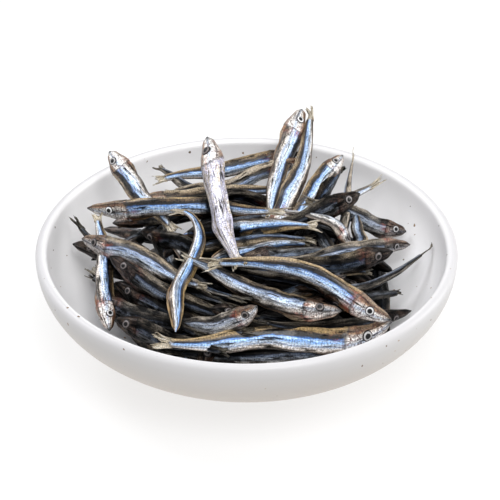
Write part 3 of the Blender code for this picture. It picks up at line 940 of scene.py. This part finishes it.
def paintShadeBelow(parts):
    # painted shade: what lies deep among other fish, seen from the front and from behind, is painted darker,
    # as if shaded by them
    cell = paintedBurialShade["cell"]
    count = int(2 * rimRadius / cell) + 1
    depths = [np.full(len(part[0]), rimRadius) for part in parts]
    for lean in (1.0, -1.0):
        top = np.zeros((count, count))
        spots = []
        for places, _, _, _ in parts:
            column = (places[:, 0] + rimRadius) / cell
            row = (places[:, 1] + lean * (places[:, 2] - rimHeight) + rimRadius) / cell
            spots.append((np.clip(column, 0, count - 1).astype(int), np.clip(row, 0, count - 1).astype(int)))
            np.maximum.at(top, spots[-1], places[:, 2])
        edged = np.pad(top, 1)
        around = [edged[1 + i : 1 + i + count, 1 + j : 1 + j + count] for i in (-1, 0, 1) for j in (-1, 0, 1)]
        level = sum(around) / len(around)
        for i, (part, spot) in enumerate(zip(parts, spots)):
            depths[i] = np.minimum(depths[i], level[spot] - part[0][:, 2])
    for part, depth in zip(parts, depths):
        part[3]["fishTone"][:, 0] *= 1 - paintedBurialShade["most"] * easeIn(paintedBurialShade["from"], paintedBurialShade["to"], depth)


# Materials

def speckledGlaze():
    # satin white glaze over grey stoneware, dipped, with iron specks burnt through from the clay
    material, tree = newMaterial("satin glazed stoneware")
    place = addNode(tree, "TexCoord").outputs["Object"]
    cloud = noise(tree, place, 1 / (30 * mm), 3.0)
    glaze = ramp(tree, cloud, ((0.3, "#EEEDEE"), (0.55, "#F1F0F1"), (0.8, "#F5F5F7")))

    # each cell of a warped Voronoi pattern has one speck, as large as its chance gives it
    warp = noise(tree, place, 1 / (1.5 * mm), 2.0, output="Color")
    inputs = {"Factor": 0.0012, "A": place, "B": warp}
    shifted = addNode(tree, "Mix", inputs, data_type="VECTOR").outputs["Result"]
    specks = addNode(tree, "TexVoronoi", {"Vector": shifted, "Scale": 1 / (4.5 * mm), "Randomness": 1.0})
    sizeChance, hueChance, _ = axes(tree, specks.outputs["Color"])
    size = rescaled(tree, sizeChance, 0.15, 1.0, 0.0, 0.14)
    speck = calculate(tree, "LESS_THAN", specks.outputs["Distance"], size)
    brown = ramp(tree, hueChance, ((0.0, "#5E4A38"), (1.0, "#A88E74")))

    # painted shade: the outside is darker and warmer, most of all low down
    outside = attribute(tree, "outsideShare", "Fac")
    climb = rescaled(tree, axes(tree, place)[2], 0.2 * rimHeight, rimHeight)
    outsideShade = ramp(tree, climb, ((0.0, "#BDB0A3"), (0.5, "#BDB5AD"), (0.85, "#BFBDBC"), (1.0, "#CBCACC")))
    colour = mixed(tree, speck, mixed(tree, outside, glaze, outsideShade), brown)
    surface = {"Base Color": colour, "Normal": bumped(tree, cloud, 0.25, 1.0 * mm), "Roughness": 0.42}
    addSurface(tree, {**surface, "IOR": 1.45, "Coat Weight": 0.12, "Coat Roughness": 0.2})
    return material


def driedSkin():
    # sun-dried fish skin: silver guanine on the flank that glints blue, brown scales above, tan belly
    material, tree = newMaterial("dried anchovy skin")

    def plus(a, b):
        return calculate(tree, "ADD", a, b)

    def times(a, b):
        return calculate(tree, "MULTIPLY", a, b)

    rest = attribute(tree, "restPlace")
    share, height, _ = axes(tree, rest)
    # bright is each fish's tone, with the painted shade of its depth among the others already in it
    bright, blue, chance = axes(tree, attribute(tree, "fishTone"))

    # the skin's own millimetres, different on each fish
    sizes = (anchovy["length"] / mm, fishShape["depth"] / 2 / mm, fishShape["width"] / 2 / mm)
    inMm = stretched(tree, rest, sizes)
    far = scaled(tree, (71.0, 53.0, 97.0), chance)
    skin = addNode(tree, "VectorMath", {0: inMm, 1: far}, operation="ADD").outputs["Vector"]
    streaks = noise(tree, stretched(tree, skin, (0.11, 1.0, 0.5)), 1.0, 5.0, 0.65)
    patches = noise(tree, stretched(tree, skin, (0.4, 1.3, 1.0)), 0.25, 5.0, 0.65)
    fine = noise(tree, skin, 1.6, 3.0, 0.7)
    # scales are about 1 mm across, and show as a net of dark edges
    net = cellEdges(tree, skin, 1.1, 0.85)

    # where on the flank, shifted by the streaks and patches
    shift = plus(times(streaks, 0.5), times(patches, 0.7))
    shift = plus(shift, times(plus(fine, chance), 0.22))
    flank = rescaled(tree, plus(height, plus(shift, -0.82)), -1.0, 1.0)
    # the trunk's colours from belly to back; its near black at 0.15, low on the flank above the belly, is
    # painted shade
    trunk = ramp(
        tree,
        flank,
        (
            (0.00, "#B49A76"), (0.08, "#856648"), (0.15, "#17120E"), (0.21, "#6A5E54"), (0.28, "#C9C0B6"),
            (0.35, "#DFE1E6"), (0.40, "#8A9CB8"), (0.45, "#E2ECF9"), (0.52, "#BCD4F5"), (0.58, "#8BB0E8"),
            (0.63, "#C3D9F7"), (0.68, "#6C93D2"), (0.72, "#182640"), (0.75, "#07080A"), (0.81, "#1C150F"),
            (0.87, "#544029"), (0.94, "#96805C"), (1.00, "#AC9674"),
        ),
    )
    dyed = {"Color": trunk, "Saturation": plus(times(blue, 0.75), 0.4)}
    hue = addNode(tree, "HueSaturation", dyed).outputs["Color"]
    # a fish whose blue is below nothing is scuffed to cream and lilac
    cream = ramp(
        tree,
        plus(times(streaks, 0.5), times(patches, 0.5)),
        ((0.36, "#6E5A4C"), (0.44, "#D6C8BA"), (0.5, "#ADADCC"), (0.56, "#E6DED4"), (0.62, "#C6B4A2")),
    )
    hue = mixed(tree, rescaled(tree, blue, -0.3, 0.0, 0.8, 0.0), hue, cream)

    # the head, in front of the gill cover's curved edge, is cracked, and rusty on a dark fish
    curve = times(calculate(tree, "POWER", calculate(tree, "ABSOLUTE", height, 0), 2), 0.022)
    headPlace = plus(plus(share, curve), times(fine, 0.012))
    head = ramp(
        tree,
        rescaled(tree, plus(height, plus(times(patches, 0.8), -0.4)), -1.0, 1.0),
        (
            (0.0, "#8A7462"), (0.12, "#D9D2CC"), (0.30, "#F4F3F2"), (0.44, "#B9C4D6"), (0.54, "#F7F6F5"),
            (0.70, "#E2DAD2"), (0.80, "#9C7A5C"), (0.90, "#4A3628"), (1.0, "#8C7458"),
        ),
    )
    cracks = plus(cellEdges(tree, skin, 0.3, 1.0), times(fine, 0.5))
    head = mixed(tree, rescaled(tree, cracks, 0.20, 0.36), "#5A2A1A", head)
    rust = ramp(tree, patches, ((0.35, "#1E110C"), (0.5, "#5E3A28"), (0.65, "#C4A78C")))
    head = mixed(tree, rescaled(tree, bright, 0.3, 0.62, 0.85, 0.0), head, rust)

    # dried blood beside the gill cover's edge
    nearGill = ramp(tree, headPlace, ((0.0, 0.0), (0.17, 0.0), (0.21, 1.0), (0.235, 1.0), (0.29, 0.0)))
    blood = times(times(nearGill, rescaled(tree, patches, 0.5, 0.62)), 0.75)
    hue = mixed(tree, blood, hue, "#8E3A26")
    head = mixed(tree, blood, head, "#8E3A26")

    # a dark snout, and a red-brown line where the gill cover ends
    snout = rescaled(tree, headPlace, 0.02, 0.055, 0.12)
    rim = rescaled(tree, headPlace, 0.206, 0.216, 1.0, 0.25)
    head = scaled(tree, head, times(snout, rim))
    colour = mixed(tree, rescaled(tree, headPlace, 0.226, 0.214), hue, head)

    # the tail fin is dry and tan
    tailPlace = plus(share, times(fine, 0.03))
    tan = ramp(tree, streaks, ((0.35, "#6A5A44"), (0.5, "#B8AA90"), (0.62, "#E2DCCF")))
    colour = mixed(tree, rescaled(tree, tailPlace, 0.875, 0.905), colour, tan)

    # scale edges are dark, most of all on the back, and the furrows, low in the bump, are darkened with
    # painted shade
    netDepth = rescaled(tree, height, 0.1, 0.6, 0.9, 0.55)
    netLine = rescaled(tree, net, 0.0, 0.15, netDepth)
    furrowShade = rescaled(tree, streaks, 0.37, 0.48, 0.05, 1.0)
    # grime in patches, and the painted shade of depth that bright carries
    grimeAndBurialShade = rescaled(tree, plus(patches, times(bright, 0.42)), 0.47, 0.82, 0.01, 1.3)
    wave = {"Vector": skin, "Scale": 0.34, "Distortion": 3.0, "Detail": 2.0, "Detail Scale": 1.5}
    bands = addNode(tree, "TexWave", wave, bands_direction="X").outputs["Fac"]
    hatched = rescaled(tree, bands, 0.1, 0.6, 0.84, 1.04)
    flecks = rescaled(tree, fine, 0.36, 0.64, 0.45, 1.45)
    shade = times(times(netLine, furrowShade), times(grimeAndBurialShade, flecks))
    # dark fish, and what lies deep in painted shade, are close to black
    toneAndBurialShade = rescaled(tree, bright, 0.0, 0.5, 0.05, 1.0)
    shade = times(times(shade, hatched), toneAndBurialShade)

    metal = ramp(tree, flank, ((0.0, 0.05), (0.3, 0.35), (0.45, 0.6), (0.66, 0.6), (0.74, 0.1), (1.0, 0.05)))
    notTail = rescaled(tree, share, 0.86, 0.9, 1.0, 0.0)
    furrows = plus(times(streaks, 0.9), times(fine, 0.35))
    raised = plus(furrows, times(rescaled(tree, net, 0.0, 0.2), 0.12))
    sheen = rescaled(tree, shade, 0.0, 0.7, 0.05, 0.5)
    addSurface(
        tree,
        {
            "Base Color": scaled(tree, colour, shade),
            "Metallic": times(metal, notTail),
            "Roughness": plus(times(patches, 0.25), 0.2),
            "Normal": bumped(tree, raised, 0.8, 0.5 * mm),
            "Coat Weight": sheen,
            "Coat Roughness": 0.2,
            "Specular IOR Level": sheen,
        },
    )
    return material


def driedEye():
    # a dried eye: silver white ring round a shrunken black lens
    material, tree = newMaterial("dried fish eye")
    rest = attribute(tree, "restPlace")
    x, y, _ = axes(tree, rest)
    flat = addNode(tree, "CombineXYZ", {"X": x, "Y": y}).outputs["Vector"]
    spread = addNode(tree, "VectorMath", {0: flat}, operation="LENGTH").outputs["Value"]
    grain = noise(tree, rest, 2.5, 3.0)
    rings = ramp(
        tree,
        calculate(tree, "ADD", calculate(tree, "MULTIPLY", grain, 0.22), spread),
        (
            (0.0, "#060608"), (0.52, "#101014"), (0.60, "#6F6D70"), (0.68, "#F4F4F4"), (0.86, "#DADCE0"),
            (0.93, "#4A3A32"), (1.0, "#1A1412"),
        ),
    )
    clear = axes(tree, attribute(tree, "fishTone"))[0]
    rusty = mixed(tree, rescaled(tree, clear, 0.0, 1.0, 0.04), "#3E2118", "#FFFFFF")
    surface = {"Base Color": stretched(tree, rings, rusty), "Roughness": 0.3, "Specular IOR Level": 0.3}
    addSurface(tree, {**surface, "Coat Weight": 0.15, "Coat Roughness": 0.1})
    return material


def shadedHeapInside():
    # painted shade: the fish and crumbs deep in the heap, near black as if in the heap's own shadow
    material, tree = newMaterial("painted shade of the heap inside")
    place = addNode(tree, "TexCoord").outputs["Object"]
    grain = noise(tree, stretched(tree, place, (0.3, 1.0, 1.0)), 1 / (3 * mm), 5.0, 0.7)
    colour = ramp(tree, grain, ((0.38, "#060606"), (0.5, "#1A1714"), (0.58, "#3C342B"), (0.66, "#7A6C58")))
    normal = bumped(tree, grain, 1.0, 2.0 * mm)
    addSurface(tree, {"Base Color": colour, "Normal": normal, "Roughness": 0.6})
    return material


# The heap

def addCore():
    bpy.ops.mesh.primitive_uv_sphere_add(segments=64, ring_count=40, radius=1)
    core = bpy.context.object
    core.name = "heapCore"
    x, y, z = readPoints(core).T
    angle = np.arctan2(y, x)
    radius = np.hypot(x, y) * coreShape["radius"] * coreShape["drawnIn"]
    bottom = curveHeight([half - coreShape["bowlGap"] for half in innerCurve], radius)
    rough = coreShape["roughness"] * np.sin(9 * angle + radius / (4 * mm)) * np.sin(radius / (2.2 * mm))
    top = coreHeight(radius) - coreShape["sunk"] + rough
    height = np.where(z > 0, np.maximum(top, bottom + coreShape["thinnest"]), bottom)
    writePoints(core, radius * np.cos(angle), radius * np.sin(angle), height)
    faceOutward()
    return core


bowl = addBowl()
bowl.data.materials.append(speckledGlaze())
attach(bowl, "root")
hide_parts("bowl")
print("bowl made")

core = addCore()
core.data.materials.append(shadedHeapInside())

fillers, shown = layAll()
print("laid", len(fillers), "hidden fish and", len(shown), "that show")

bodyModel = addAnchovyBody()
tailModel = addAnchovyTail()
eyeModel = addAnchovyEye()
straight = (meshArrays(bodyModel), tailArrays(tailModel), meshArrays(eyeModel))

chance = np.random.RandomState(givenLooks["seed"])
layers = {"anchoviesUnder": [], "anchoviesBack": [], "anchoviesMiddle": [], "anchoviesTop": []}
eyeParts = []
for placed in fillers:
    tone = (chance.uniform(*givenLooks["bright"]), chance.uniform(*givenLooks["blue"]))
    look = tuple(chance.uniform(*ends) for ends in givenLooks["hiddenTail"])
    clear = givenLooks["hiddenEye"]
    skin, eyes = fishParts(placed, laying["fillerScale"], tone, look, clear, chance, straight)
    layers["anchoviesUnder"] += skin
    eyeParts += eyes
layerNames = ("anchoviesBack", "anchoviesMiddle", "anchoviesTop")
for number, (name, (_, _, scale, bright, blue)) in enumerate(shownFish.items()):
    givenTail = tuple(chance.uniform(*ends) for ends in givenLooks["shownTail"])
    look = tailLook.get(name, givenTail)
    clear = None if name in headless else clearEyes.get(name, givenLooks["dullEye"])
    skin, eyes = fishParts(shown[name], scale, (bright, blue), look, clear, chance, straight)
    layers[layerNames[number * 3 // len(shownFish)]] += skin
    eyeParts += eyes
for model in (bodyModel, tailModel, eyeModel):
    bpy.data.objects.remove(model)

paintShadeBelow([part for parts in layers.values() for part in parts])
skinMaterial = driedSkin()
heapPieces = [core]
for name, parts in layers.items():
    piece = joinPieces(name, parts)
    piece.data.materials.append(skinMaterial)
    heapPieces.append(piece)
eyesPiece = joinPieces("anchovyEyes", eyeParts)
eyesPiece.data.materials.append(driedEye())
heapPieces.append(eyesPiece)
for piece in heapPieces:
    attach(piece, "root")
    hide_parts("anchovy_heap")
print("heap made")
